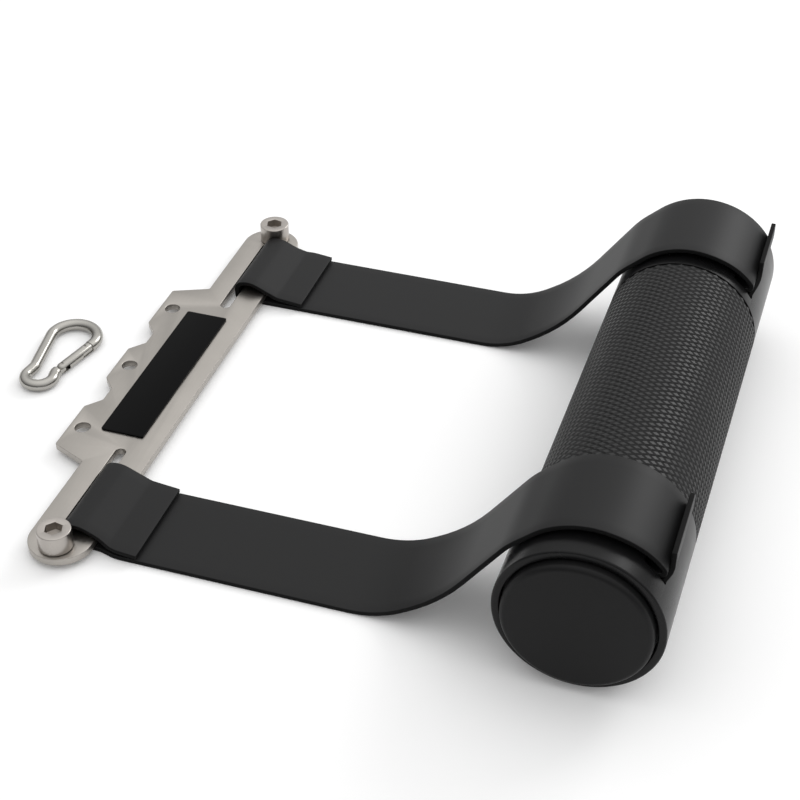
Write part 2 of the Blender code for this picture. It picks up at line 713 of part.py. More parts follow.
# Puts the frame's origin under the middle of the assembly's footprint
def centre_on_footprint(layout, group):
    bpy.context.view_layer.update()
    graph = bpy.context.evaluated_depsgraph_get()
    spots = []
    for obj in group.objects:
        if obj.type == "MESH":
            seen = obj.evaluated_get(graph)
            spots += [obj.matrix_world @ v.co for v in seen.data.vertices]
    for axis in (0, 1):
        values = [spot[axis] for spot in spots]
        layout.location[axis] -= (min(values) + max(values)) / 2


def build():
    for old in list(bpy.data.objects):
        bpy.data.objects.remove(old)
    group = bpy.data.collections.new("cable_wrist_trainer")
    cutters = bpy.data.collections.new("cutters")
    bpy.context.scene.collection.children.link(group)
    bpy.context.scene.collection.children.link(cutters)

    steel = material("brushed_plate_steel", (0.40, 0.37, 0.34), 1.0, 0.42)
    screw_steel = material("screw_steel", (0.55, 0.52, 0.49), 1.0, 0.30)
    hook_steel = material("polished_hook_steel", (0.62, 0.60, 0.57), 1.0, 0.18)
    pin_steel = material("pin_steel", (0.45, 0.44, 0.43), 1.0, 0.35)
    strap_black = material("strap_black", (0.030, 0.030, 0.031), 0.0, 0.55)
    tube_black = material("tube_black", (0.012, 0.012, 0.013), 0.0, 0.32)
    grip_black = material("grip_black", (0.022, 0.022, 0.023), 0.0, 0.50)
    cap_black = material("cap_black", (0.018, 0.018, 0.019), 0.0, 0.60)
    plate_black = material("name_plate_black", (0.004, 0.004, 0.004), 0.0, 0.35)
    rod_grey = material("rod_grey", (0.20, 0.20, 0.20), 0.3, 0.45)

    layout = add_empty("layout", (0, 0, 0), group)
    strap("near_strap", -1, group, cutters, strap_black, layout, NEAR_TAIL)
    strap("far_strap", 1, group, cutters, strap_black, layout, FAR_TAIL)

    hinge = add_empty("plate_hinge", PLATE_HINGE, group, layout)
    anchor_plate(group, steel, hinge)
    name_plate(group, plate_black, hinge)
    cap_screw("near_cap_screw", -1, group, cutters, screw_steel, hinge)
    cap_screw("far_cap_screw", 1, group, cutters, screw_steel, hinge)

    handle = add_empty("handle_axis", HANDLE_AXIS, group, layout)
    handle_tube(group, cutters, tube_black, handle)
    grip_sleeve(group, grip_black, handle)
    end_cap("near_end_cap", -1, group, cap_black, handle)
    end_cap("far_end_cap", 1, group, cap_black, handle)
    retaining_rod("near_retaining_rod", -1, group, rod_grey, handle)
    retaining_rod("far_retaining_rod", 1, group, rod_grey, handle)

    hook = add_empty("hook_frame", (*HOOK_PLACE, HOOK_WIRE / 2), group, layout)
    hook.rotation_euler.z = HOOK_TURN
    pivot = add_empty("gate_pivot", (RIVET_X, GATE_LINE, 0), group, hook)
    carabiner_body(group, cutters, hook_steel, hook)
    cross_pin("gate_rivet", (RIVET_X, GATE_LINE, 0), group, pin_steel, hook)
    carabiner_gate(group, cutters, hook_steel, pivot)
    cross_pin("gate_latch_pin", (LATCH_X - RIVET_X, 0, 0), group, pin_steel, pivot)
    gate_plunger(group, pin_steel, pivot)
    gate_spring(group, pin_steel, pivot)

    centre_on_footprint(layout, group)


build()
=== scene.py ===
# Cable wrist trainer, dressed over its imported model. Piece sizes are in millimetres.
import bmesh
import bpy
from math import asin, atan2, ceil, cos, hypot, pi, radians, sin, sqrt
from mathutils import Matrix, Vector


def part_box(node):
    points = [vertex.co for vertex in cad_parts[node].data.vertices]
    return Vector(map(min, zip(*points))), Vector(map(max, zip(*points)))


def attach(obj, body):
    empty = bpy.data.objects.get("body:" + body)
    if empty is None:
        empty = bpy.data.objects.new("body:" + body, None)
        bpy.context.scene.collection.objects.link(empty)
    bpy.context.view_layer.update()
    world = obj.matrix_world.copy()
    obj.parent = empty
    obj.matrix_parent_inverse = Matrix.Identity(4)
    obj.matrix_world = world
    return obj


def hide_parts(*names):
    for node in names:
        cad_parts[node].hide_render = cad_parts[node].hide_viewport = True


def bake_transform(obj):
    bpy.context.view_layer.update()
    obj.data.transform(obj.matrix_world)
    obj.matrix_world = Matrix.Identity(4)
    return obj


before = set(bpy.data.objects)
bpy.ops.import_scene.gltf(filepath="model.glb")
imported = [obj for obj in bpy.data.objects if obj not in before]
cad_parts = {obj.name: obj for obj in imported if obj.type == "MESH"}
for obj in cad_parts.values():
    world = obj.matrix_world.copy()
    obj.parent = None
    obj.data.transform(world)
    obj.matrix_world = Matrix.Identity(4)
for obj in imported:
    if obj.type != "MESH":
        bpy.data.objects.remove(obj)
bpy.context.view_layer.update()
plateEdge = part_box("anchor_plate")[1].x  # x = 0 of the sizes below
toFrame = Matrix.Translation((plateEdge, 0, 0)) @ Matrix.Scale(0.001, 4)
mergeWithin = 0.0005
cutMergeWithin = 0.01
roundSteps = 6  # to a rounding on a turned profile
print("frame loaded,", len(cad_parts), "nodes")


def link(name, data):
    obj = bpy.data.objects.new(name, data)
    bpy.context.scene.collection.objects.link(obj)
    return obj


def meshFrom(bm, name):  # ends the bmesh
    mesh = bpy.data.meshes.new(name)
    bm.to_mesh(mesh)
    bm.free()
    return mesh


def evaluatedMesh(obj):
    bpy.context.view_layer.update()
    seen = obj.evaluated_get(bpy.context.evaluated_depsgraph_get())
    return bpy.data.meshes.new_from_object(seen)


def applyModifiers(obj):
    mesh = evaluatedMesh(obj)
    obj.modifiers.clear()
    old = obj.data
    mesh.name = old.name
    obj.data = mesh
    bpy.data.meshes.remove(old)


def bevelEdges(obj, width, segments, angle):  # applied with any modifier before it
    mod = obj.modifiers.new("softEdges", "BEVEL")
    mod.width = width / 1000
    mod.segments = segments
    mod.limit_method = "ANGLE"
    mod.angle_limit = radians(angle)
    applyModifiers(obj)


def finishPiece(name, bm, material, body=None, nodes=(), sharp=35):
    bmesh.ops.remove_doubles(bm, verts=bm.verts, dist=mergeWithin)
    bmesh.ops.recalc_face_normals(bm, faces=bm.faces)
    moveTo(bm, toFrame)
    return dressPiece(link(name, meshFrom(bm, name)), material, body, nodes, sharp)


def dressPiece(obj, material, body=None, nodes=(), sharp=35):
    obj.data.materials.clear()
    obj.data.materials.append(material)
    obj.data.shade_smooth()
    obj.data.set_sharp_from_angle(angle=radians(sharp))
    if body:
        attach(obj, body)
    if nodes:
        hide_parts(*nodes)
    return obj


# A profile of (distance from the axis, height, rounding) turned about Z
def turnProfile(points, steps, closed=False):
    bm = bmesh.new()
    verts = [bm.verts.new((r, 0, z)) for r, z, _ in points]
    ends = list(zip(verts, verts[1:])) + ([(verts[-1], verts[0])] if closed else [])
    for pair in ends:
        bm.edges.new(pair)
    for vert, (_, _, rounding) in zip(verts, points):
        if rounding:
            bmesh.ops.bevel(bm, geom=[vert], offset=rounding, offset_type="OFFSET",
                            segments=roundSteps, profile=0.5, affect="VERTICES", material=-1)
    bmesh.ops.spin(bm, geom=bm.verts[:] + bm.edges[:], cent=(0, 0, 0), axis=(0, 0, 1),
                   angle=2 * pi, steps=steps, use_merge=True)
    bmesh.ops.remove_doubles(bm, verts=bm.verts, dist=mergeWithin)
    bmesh.ops.recalc_face_normals(bm, faces=bm.faces)
    return bm


def moveTo(bm, matrix):
    bmesh.ops.transform(bm, matrix=matrix, verts=bm.verts)
    return bm


def cutAway(obj, bm, operation="DIFFERENCE"):  # boolean with a bmesh in millimetres
    bmesh.ops.recalc_face_normals(bm, faces=bm.faces)
    cutter = link("cutter", meshFrom(moveTo(bm, toFrame), "cutter"))
    mod = obj.modifiers.new("cut", "BOOLEAN")
    mod.operation = operation
    mod.solver = "EXACT"
    mod.object = cutter
    applyModifiers(obj)
    bpy.data.objects.remove(cutter)


def mergeCuts(obj):  # closes up the doubled points that cuts through each other leave
    bm = bmesh.new()
    bm.from_mesh(obj.data)
    bmesh.ops.remove_doubles(bm, verts=bm.verts, dist=cutMergeWithin / 1000)
    bmesh.ops.dissolve_degenerate(bm, edges=bm.edges, dist=cutMergeWithin / 1000)
    bm.to_mesh(obj.data)
    bm.free()


def boxAt(size, place, turn=None):
    bm = bmesh.new()
    matrix = Matrix.Translation(place) @ (turn or Matrix.Identity(4)) @ Matrix.Diagonal((*size, 1))
    bmesh.ops.create_cube(bm, size=1, matrix=matrix)
    return bm


def rodAt(radius, length, place, steps, turn=None):
    bm = bmesh.new()
    matrix = Matrix.Translation(place) @ (turn or Matrix.Identity(4))
    bmesh.ops.create_cone(bm, cap_ends=True, segments=steps, radius1=radius, radius2=radius,
                          depth=length, matrix=matrix)
    return bm


def arcPoints(cx, cy, radius, start, end, steps):
    return [(cx + radius * cos(start + (end - start) * i / steps),
             cy + radius * sin(start + (end - start) * i / steps)) for i in range(steps + 1)]


def circlePoints(cx, cy, radius, steps):
    return arcPoints(cx, cy, radius, 0, 2 * pi, steps)[:-1]


def roundedChain(chain, radius, steps):  # arcs in place of the inner corners of a chain
    rounded = []
    for before, corner, after in zip(chain, chain[1:], chain[2:]):
        corner = Vector(corner)
        a = (Vector(before) - corner).normalized()
        b = (Vector(after) - corner).normalized()
        half = a.angle(b) / 2
        centre = corner + (a + b).normalized() * radius / sin(half)
        first = corner + a * radius * cos(half) / sin(half) - centre
        last = corner + b * radius * cos(half) / sin(half) - centre
        start = atan2(first.y, first.x)
        sweep = (atan2(last.y, last.x) - start + pi) % (2 * pi) - pi
        rounded += arcPoints(centre.x, centre.y, radius, start, start + sweep, steps)
    return rounded


# A flat curve filled between its outlines, with a rounded edge, made a mesh
def cutSheet(name, outlines, bottom, thickness, edge, resolution=2, place=None):
    curve = bpy.data.curves.new(name, "CURVE")
    curve.dimensions = "2D"
    curve.fill_mode = "BOTH"
    curve.extrude = thickness / 2 - edge
    curve.bevel_depth = edge
    curve.bevel_resolution = resolution
    curve.offset = -edge
    for outline in outlines:
        spline = curve.splines.new("POLY")
        spline.points.add(len(outline) - 1)
        for point, (x, y) in zip(spline.points, outline):
            point.co = (x, y, 0, 1)
        spline.use_cyclic_u = True
    obj = link(name, curve)
    mesh = evaluatedMesh(obj)
    bpy.data.objects.remove(obj)
    bpy.data.curves.remove(curve)
    bm = bmesh.new()
    bm.from_mesh(mesh)
    bpy.data.meshes.remove(mesh)
    bmesh.ops.translate(bm, verts=bm.verts, vec=(0, 0, bottom + thickness / 2))
    return moveTo(bm, place) if place else bm


def pullOut(bm, edges):  # extrudes edges, and gives the new row's vertices and edges
    made = bmesh.ops.extrude_edge_only(bm, edges=edges)["geom"]
    verts = [v for v in made if isinstance(v, bmesh.types.BMVert)]
    edges = [e for e in made if isinstance(e, bmesh.types.BMEdge)
             and all(v in verts for v in e.verts)]
    return verts, edges


# Pulls edges along straights and turns them round circles, row by row, in the XZ plane:
# each bend is (x, z, radius, +1 to the left or -1 to the right)
def pullAlong(bm, edges, start, bends, end, longest, bendStep):
    rows = [list({v for e in edges for v in e.verts})]
    headings = beltHeadings(start, bends, end)
    at = Vector((start[0], 0, start[1]))

    def nextRow():
        nonlocal edges
        verts, edges = pullOut(bm, edges)
        rows.append(verts)
        return verts

    def pullTo(x, z):
        nonlocal at
        move = Vector((x, 0, z)) - at
        count = max(1, ceil(move.length / longest))
        for _ in range(count):
            bmesh.ops.translate(bm, verts=nextRow(), vec=move / count)
        at = at + move

    for i, (cx, cz, radius, turn) in enumerate(bends):
        pullTo(cx + turn * radius * sin(headings[i]), cz - turn * radius * cos(headings[i]))
        sweep = (turn * (headings[i + 1] - headings[i])) % (2 * pi)
        count = max(2, ceil(sweep / bendStep))
        for _ in range(count):
            bmesh.ops.rotate(bm, verts=nextRow(), cent=(cx, 0, cz),
                             matrix=Matrix.Rotation(-turn * sweep / count, 3, "Y"))
        leaving = headings[i + 1]
        at = Vector((cx + turn * radius * sin(leaving), 0, cz - turn * radius * cos(leaving)))
    pullTo(*end)
    return rows


def beltHeadings(start, bends, end):  # the direction of each straight between two bends
    stops = [(*start, 0, 1)] + bends + [(*end, 0, 1)]
    return [atan2(b[1] - a[1], b[0] - a[0])
            + asin((a[3] * a[2] - b[3] * b[2]) / hypot(b[0] - a[0], b[1] - a[1]))
            for a, b in zip(stops, stops[1:])]


def ease(value, start, end):
    share = min(1, max(0, (value - start) / (end - start)))
    return share * share * (3 - 2 * share)


def newMaterial(name, colour, metallic, roughness, level=None):
    mat = bpy.data.materials.new(name)
    mat.use_nodes = True
    shader = mat.node_tree.nodes["Principled BSDF"]
    shader.inputs["Base Color"].default_value = (*colour, 1)
    shader.inputs["Metallic"].default_value = metallic
    shader.inputs["Roughness"].default_value = roughness
    if level is not None:
        shader.inputs["Specular IOR Level"].default_value = level
    return mat


def nodeOf(owner, kind, **inputs):  # a material's or world's node with its inputs set
    node = owner.node_tree.nodes.new(kind)
    for key, value in inputs.items():
        node.inputs[key.replace("_", " ")].default_value = value
    return node


def mathOf(tree, operation, *values):  # a Math node of sockets and numbers
    node = tree.nodes.new("ShaderNodeMath")
    node.operation = operation
    for socket, value in zip(node.inputs, values):
        if isinstance(value, bpy.types.NodeSocket):
            tree.links.new(value, socket)
        else:
            socket.default_value = value
    return node.outputs["Value"]


def addNoise(mat, scale, stretch=(1, 1, 1), detail=2):  # at the object's own coordinates
    coords = mat.node_tree.nodes.new("ShaderNodeTexCoord")
    mapping = mat.node_tree.nodes.new("ShaderNodeMapping")
    mapping.inputs["Scale"].default_value = stretch
    mat.node_tree.links.new(coords.outputs["Object"], mapping.inputs["Vector"])
    noise = nodeOf(mat, "ShaderNodeTexNoise", Scale=scale, Detail=detail, Roughness=0.6)
    mat.node_tree.links.new(mapping.outputs["Vector"], noise.inputs["Vector"])
    return noise.outputs["Fac"]


noiseSpan = (0.3, 0.7)  # nearly all of a noise lies between these
grainDetail = 4


def varyRoughness(mat, fac, middle, spread):
    node = nodeOf(mat, "ShaderNodeMapRange", From_Min=noiseSpan[0], From_Max=noiseSpan[1],
                  To_Min=middle - spread, To_Max=middle + spread)
    mat.node_tree.links.new(fac, node.inputs["Value"])
    shader = mat.node_tree.nodes["Principled BSDF"]
    mat.node_tree.links.new(node.outputs["Result"], shader.inputs["Roughness"])


def varyColour(mat, fac, colour, tint):
    shader = mat.node_tree.nodes["Principled BSDF"]
    ramp = mat.node_tree.nodes.new("ShaderNodeValToRGB")
    for stop, position, shade in zip(ramp.color_ramp.elements, noiseSpan, (1 - tint, 1 + tint)):
        stop.position = position
        stop.color = (*[c * shade for c in colour], 1)
    mat.node_tree.links.new(fac, ramp.inputs["Fac"])
    mat.node_tree.links.new(ramp.outputs["Color"], shader.inputs["Base Color"])


def addBump(mat, height, strength, distance):
    shader = mat.node_tree.nodes["Principled BSDF"]
    bump = nodeOf(mat, "ShaderNodeBump", Strength=strength, Distance=distance)
    mat.node_tree.links.new(height, bump.inputs["Height"])
    mat.node_tree.links.new(bump.outputs["Normal"], shader.inputs["Normal"])


# Steel with its grain stretched along the way it was brushed or turned
def grainedSteel(name, colour, roughness, stretch, grainScale=1500, grain=0.03, spread=0.05,
                 cloudScale=60, tint=0.035, grainDepth=0.0001):
    mat = newMaterial(name, colour, 1.0, roughness)
    lines = addNoise(mat, grainScale, stretch, grainDetail)
    varyColour(mat, addNoise(mat, cloudScale), colour, tint)
    varyRoughness(mat, lines, roughness, spread)
    addBump(mat, lines, grain, grainDepth)
    return mat


def mouldedFinish(name, grey, roughness, level, grainScale, grainDepth, blue=0.0, grain=0.2,
                  spread=0.03, cloudScale=45, tint=0.08):
    colour = (grey, grey, grey + blue)
    mat = newMaterial(name, colour, 0.0, roughness, level)
    cloud = addNoise(mat, cloudScale)
    varyColour(mat, cloud, colour, tint)
    varyRoughness(mat, cloud, roughness, spread)
    addBump(mat, addNoise(mat, grainScale, detail=grainDetail), grain, grainDepth)
    return mat


# A strap's finish: a fine woven face under a smooth satin coat, along its own UV map,
# with duller cut edges, darkened by painted shade, where U is at its ends or V is nil
def strapFinish(f, width):
    mat = newMaterial("coatedWebbing", f["colour"], 0.0, f["roughness"], f["level"])
    tree = mat.node_tree
    coords = tree.nodes.new("ShaderNodeUVMap")
    coords.uv_map = "UVMap"
    threads = []
    for axis, scale in zip("XY", f["weaveScale"]):
        wave = nodeOf(mat, "ShaderNodeTexWave", Scale=scale, Distortion=f["weaveWander"])
        wave.bands_direction = axis
        tree.links.new(coords.outputs["UV"], wave.inputs["Vector"])
        threads.append(wave.outputs["Fac"])
    addBump(mat, mathOf(tree, "MULTIPLY", *threads), f["weave"], f["weaveDepth"])
    place = tree.nodes.new("ShaderNodeSeparateXYZ")
    tree.links.new(coords.outputs["UV"], place.inputs["Vector"])
    across = mathOf(tree, "COMPARE", place.outputs["X"], width / 2, width / 2 - f["edge"])
    along = mathOf(tree, "GREATER_THAN", place.outputs["Y"], f["edge"])
    woven = mathOf(tree, "MULTIPLY", across, along)
    # painted shade: the cut edges and both ends of the strap take a darker copy of its colour
    colours = tree.nodes.new("ShaderNodeValToRGB")
    for stop, shade in zip(colours.color_ramp.elements, (f["edgePaintedShade"], 1)):
        stop.color = (*[c * shade for c in f["colour"]], 1)
    dull = nodeOf(mat, "ShaderNodeMapRange", To_Min=f["edgeRoughness"], To_Max=f["roughness"])
    tree.links.new(woven, colours.inputs["Fac"])
    tree.links.new(woven, dull.inputs["Value"])
    shader = tree.nodes["Principled BSDF"]
    tree.links.new(colours.outputs["Color"], shader.inputs["Base Color"])
    tree.links.new(dull.outputs["Result"], shader.inputs["Roughness"])
    return mat


webbingFinish = {
    "colour": (0.0110, 0.0110, 0.0113), "roughness": 0.48, "level": 0.21,
    "weaveScale": (0.55, 0.7), "weaveWander": 0.4, "weave": 0.06, "weaveDepth": 0.00006,
    # edgePaintedShade is the share of the strap's colour kept at its edges and ends: painted shade
    "edge": 0.03, "edgePaintedShade": 0.3, "edgeRoughness": 0.85,
}
strapWidth = 40.5
webbing = strapFinish(webbingFinish, strapWidth)

plateSteel = grainedSteel("brushedPlate", (0.420, 0.396, 0.366), 0.38, stretch=(1, 0.04, 1))
screwSteel = grainedSteel("machinedScrew", (0.430, 0.402, 0.374), 0.30, stretch=(1, 1, 0.1),
                          grainScale=2500, grain=0.01, spread=0.03)
hookSteel = grainedSteel("polishedHook", (0.400, 0.388, 0.362), 0.20, stretch=(1, 1, 1),
                         grainScale=900, grain=0.004, spread=0.03)
pinSteel = grainedSteel("plainPin", (0.42, 0.40, 0.38), 0.30, stretch=(1, 1, 1),
                        grain=0.01, spread=0.03)

tubeBlack = mouldedFinish("satinTube", 0.0060, roughness=0.28, level=0.18,
                          grainScale=900, grainDepth=0.00001, blue=0.0003)
gripBlack = mouldedFinish("mouldedGrip", 0.0150, roughness=0.46, level=0.34,
                          grainScale=700, grainDepth=0.00002, blue=0.0003)
capBlack = mouldedFinish("mattCap", 0.0088, roughness=0.42, level=0.15,
                         grainScale=1200, grainDepth=0.00002, blue=0.0003)
labelBlack = mouldedFinish("bareNamePlate", 0.0012, roughness=0.32, level=0.05,
                           grainScale=600, grainDepth=0.00001, blue=0.0001)
rodGrey = mouldedFinish("rodGrey", 0.16, roughness=0.45, level=0.4,
                        grainScale=500, grainDepth=0.00002)
print("finishes made")


# The handle lies along Y: its pieces are turned about Z and laid down
handle = {
    "axis": (184.54, 30.0), "radius": 30.0, "bore": 25.0, "end": 115.6,
    "rimRound": 0.8, "rimWall": 3.0, "seatDepth": 5.0, "seatRound": 0.5,
    "gripEnd": 63.8, "gripThickness": 1.7, "gripRound": 0.2, "gap": 0.3,
    "slotDepth": 30.0, "slotWidth": 12.0, "slotTilt": radians(41), "slotSlant": (5.3, 4.1),
    "slotReach": {-1: (67.5, 105.4), 1: (69.4, 110.0)},  # the near slot's ends and the far one's
    "slotRound": 1.0, "strapTilt": radians(38.5), "steps": 160,
}
alongY = (Matrix.Translation((handle["axis"][0], 0, handle["axis"][1]))
          @ Matrix.Rotation(-pi / 2, 4, "X"))


def makeTube(h):
    recess = h["radius"] - h["gripThickness"] - h["gap"]
    seat = h["radius"] - h["rimWall"]
    upper = [(h["bore"], h["end"] - h["seatDepth"], 0), (seat, h["end"] - h["seatDepth"], 0),
             (seat, h["end"], h["seatRound"]), (h["radius"], h["end"], h["rimRound"]),
             (h["radius"], h["gripEnd"], h["gripRound"]), (recess, h["gripEnd"], 0)]
    lower = [(r, -z, rounding) for r, z, rounding in reversed(upper)]
    bm = moveTo(turnProfile(upper + lower, h["steps"], closed=True), alongY)
    tube = finishPiece("handleTube", bm, tubeBlack)
    out = Vector((cos(h["slotTilt"]), 0, sin(h["slotTilt"])))
    for side in (-1, 1):
        low, high = h["slotReach"][side]
        place = Vector((h["axis"][0], side * (low + high) / 2, h["axis"][1]))
        place += out * (h["radius"] + h["bore"]) / 2
        window = boxAt((h["slotDepth"], high - low, h["slotWidth"]), place,
                       Matrix.Rotation(-h["slotTilt"], 4, "Y"))
        across = Vector((-out.z, 0, out.x))
        for v in window.verts:  # its lower wall slants the way the strap leaves
            away = v.co - place
            if away.dot(across) < 0:
                inward, outward = h["slotSlant"]
                v.co += across * (outward if away.dot(out) > 0 else -inward)
        corners = [e for e in window.edges if runsAlong(e, out)]
        bmesh.ops.bevel(window, geom=corners, offset=h["slotRound"], offset_type="OFFSET",
                        segments=4, profile=0.5, affect="EDGES", material=-1)
        cutAway(tube, window)
    dressPiece(tube, tubeBlack, "handle", ["handle_tube"], sharp=30)


def runsAlong(edge, direction, within=radians(30)):
    angle = (edge.verts[0].co - edge.verts[1].co).angle(direction)
    return min(angle, pi - angle) < within


grip = {
    "cellsAround": 39, "cellsAlong": 47, "groove": 0.55, "inset": 0.52, "depth": 0.55,
    "inside": 28.3, "endGap": 0.05,
}


def ontoRound(verts, radius):
    for v in verts:
        v.co.x, v.co.y = v.co.xy.normalized() * radius


# The sleeve's raised diamonds: a tube of cells, each poked, then the first lines dissolved
# and each diamond that is left inset and raised
def makeGrip(h, g):
    half = h["gripEnd"] - g["endGap"]
    bm = bmesh.new()
    base = h["radius"] - g["groove"]
    bmesh.ops.create_circle(bm, radius=base, segments=g["cellsAround"],
                            matrix=Matrix.Translation((0, 0, -half)))
    ring = bm.edges[:]
    step = 2 * half / g["cellsAlong"]
    for _ in range(g["cellsAlong"]):
        fresh, ring = pullOut(bm, ring)
        bmesh.ops.translate(bm, verts=fresh, vec=(0, 0, step))
    cellLines = [e for e in bm.edges if e.is_manifold]
    bmesh.ops.poke(bm, faces=bm.faces[:])
    bmesh.ops.dissolve_edges(bm, edges=cellLines, use_verts=False)
    ontoRound(bm.verts, base)
    bmesh.ops.recalc_face_normals(bm, faces=bm.faces)
    if bm.faces[0].normal.dot(Vector((*bm.faces[0].calc_center_median().xy, 0))) < 0:
        bmesh.ops.reverse_faces(bm, faces=bm.faces)
    diamonds = [f for f in bm.faces if len(f.verts) == 4]
    bmesh.ops.inset_individual(bm, faces=diamonds, thickness=g["inset"], depth=g["depth"],
                               use_even_offset=True)
    proud = [v for v in bm.verts if v.co.xy.length > h["radius"]]
    ontoRound(proud, h["radius"])  # no diamond stands above the tube
    endWalls = pullOut(bm, [e for e in bm.edges if e.is_boundary])[0]
    ontoRound(endWalls, g["inside"])
    bmesh.ops.bridge_loops(bm, edges=[e for e in bm.edges if e.is_boundary])
    finishPiece("gripSleeve", moveTo(bm, alongY), gripBlack, "handle",
                ["grip_sleeve"], sharp=12)


cap = {
    "plug": 26.7, "plugRound": 0.4, "face": 26.4, "proud": 3.7, "round": 2.0,
    "grooveDepth": 2.4, "depth": 4.7, "steps": 128,
}


def makeCap(name, node, side, h, c):
    floor = -c["grooveDepth"]
    points = [(0, c["proud"], 0), (c["face"], c["proud"], c["round"]), (c["face"], floor, 0),
              (c["plug"], floor, 0), (c["plug"], -c["depth"], c["plugRound"]),
              (0, -c["depth"], 0)]
    rim = Matrix.Translation((h["axis"][0], side * h["end"], h["axis"][1]))
    bm = moveTo(turnProfile(points, c["steps"]), rim @ Matrix.Rotation(-side * pi / 2, 4, "X"))
    finishPiece(name, bm, capBlack, "handle", [node], sharp=30)


makeTube(handle)
makeGrip(handle, grip)
makeCap("nearCap", "near_end_cap", -1, handle, cap)
makeCap("farCap", "far_end_cap", 1, handle, cap)
print("handle made")


strap = {
    "thickness": 1.8, "inner": 66.0, "outer": 66.0 + strapWidth, "edgeRound": 0.3,
    "longest": 2.2, "bendStep": radians(4), "across": 8,  # how finely it is divided
    "split": 60.0, "plateBlend": (9, -6), "handleBlend": (112, 164),  # x from the plate's edge
    # the bends from the lap to the tail, as x, z and radius where they have all three
    "start": (17.5, 3.0), "lapBend": (7.5, 10.1, 6.0), "loop": (-9.4, 5.5, 3.6),
    "crownRadius": 9.0, "crownLean": radians(20), "under": (-11.0, 2.9, 2.0),
    "rise": (99.5, 38.9, 38.0), "rampRadius": 70.0, "rampLean": radians(27), "spread": 1.003,
    "shoulder": (-1.14, -5.7), "shoulderExtra": 5.5, "wrap": (0.85, 3.5), "wrapShrink": 0.999,
    "turnRadius": 1.7, "turnProud": 0.73, "turnSide": 0.65,
    "rodInset": 8.87, "rodSide": -1.0, "rodBend": 6.96,
    "tailGap": 0.15, "tailBend": (4.4, 0.30), "tipRise": 5.86,
    # its edges, drawn in at the slot and moved at the handle, the turn and the tail
    "waistCut": 2.1, "waistLength": 10.0,
    "splay": (104.54, 159.54), "drawIn": (88.0, 62.0), "taper": (12.0, 3.0),
    "nearEdges": [(67.7, 106.6), (68.3, 104.6), (68.8, 100.8)],
    "farEdges": [(68.3, 109.5), (71.0, 109.6), (81.0, 112.9)],
}


# The circles that a strap's middle line goes round, from its lap to its tail, and its tip
def strapBends(s, h):
    loop = Vector(s["loop"][:2])
    lean = Vector((sin(s["crownLean"]), -cos(s["crownLean"])))
    crown = loop + lean * (s["crownRadius"] - s["loop"][2]) * s["spread"]
    rise = Vector(s["rise"][:2])
    lean = Vector((-sin(s["rampLean"]), cos(s["rampLean"])))
    ramp = rise + lean * (s["rampRadius"] - s["rise"][2]) * s["spread"]
    out = Vector((cos(h["strapTilt"]), sin(h["strapTilt"])))
    across = Vector((-out.y, out.x))
    axis = Vector(h["axis"])
    rod = axis + out * (h["bore"] - s["rodInset"]) + across * s["rodSide"]
    turn = axis + out * (h["radius"] + s["turnProud"]) + across * s["turnSide"]
    wrap = axis + Vector(s["wrap"])
    wrapRadius = (turn - wrap).length * s["wrapShrink"] + s["turnRadius"]
    shoulder = axis + Vector(s["shoulder"])
    tailX = turn.x + s["turnRadius"] + s["tailGap"] + s["thickness"]
    bends = [
        (*s["lapBend"], -1),
        (*crown, s["crownRadius"], 1),
        (*s["loop"], 1),
        (*s["under"], 1),
        (*s["rise"], 1),
        (*ramp, s["rampRadius"], 1),
        (*shoulder, wrapRadius + s["shoulderExtra"], -1),
        (*wrap, wrapRadius, -1),
        (*turn, s["turnRadius"], -1),
        (*rod, s["rodBend"], 1),
        (tailX - s["tailBend"][0], turn.y + s["tailBend"][1], s["tailBend"][0], 1),
    ]
    return bends, (tailX, turn.y + s["tipRise"])


# Draws the rows in at the plate's slot, moves their edges at the handle, turn and tail,
# and lays the UV map, whose V is the way to the nearer end of the strap
def shapeRows(bm, rows, side, s, edges):
    for row in rows:
        row.sort(key=lambda v: abs(v.co.y))
    lengths = [0]
    for a, b in zip(rows, rows[1:]):
        lengths.append(lengths[-1] + (b[0].co - a[0].co).length)
    places = {}
    for row, length in zip(rows, lengths):
        left = lengths[-1] - length
        x = row[0].co.x
        low, high = s["inner"], s["outer"]
        shares = (ease(x, *s["splay"]), ease(left, *s["drawIn"]), ease(left, *s["taper"]))
        for (inner, outer), share in zip(edges, shares):
            low += (inner - low) * share
            high += (outer - high) * share
        high -= s["waistCut"] * ease(x, s["waistLength"], 0)
        for i, v in enumerate(row):
            v.co.y = side * (low + (high - low) * i / s["across"])
            places[v] = (i, min(length, left))
    uv = bm.loops.layers.uv.new("UVMap")
    step = strapWidth / s["across"]
    for face in bm.faces:
        for loop in face.loops:
            i, fromEnd = places[loop.vert]
            loop[uv].uv = (i * step, fromEnd)


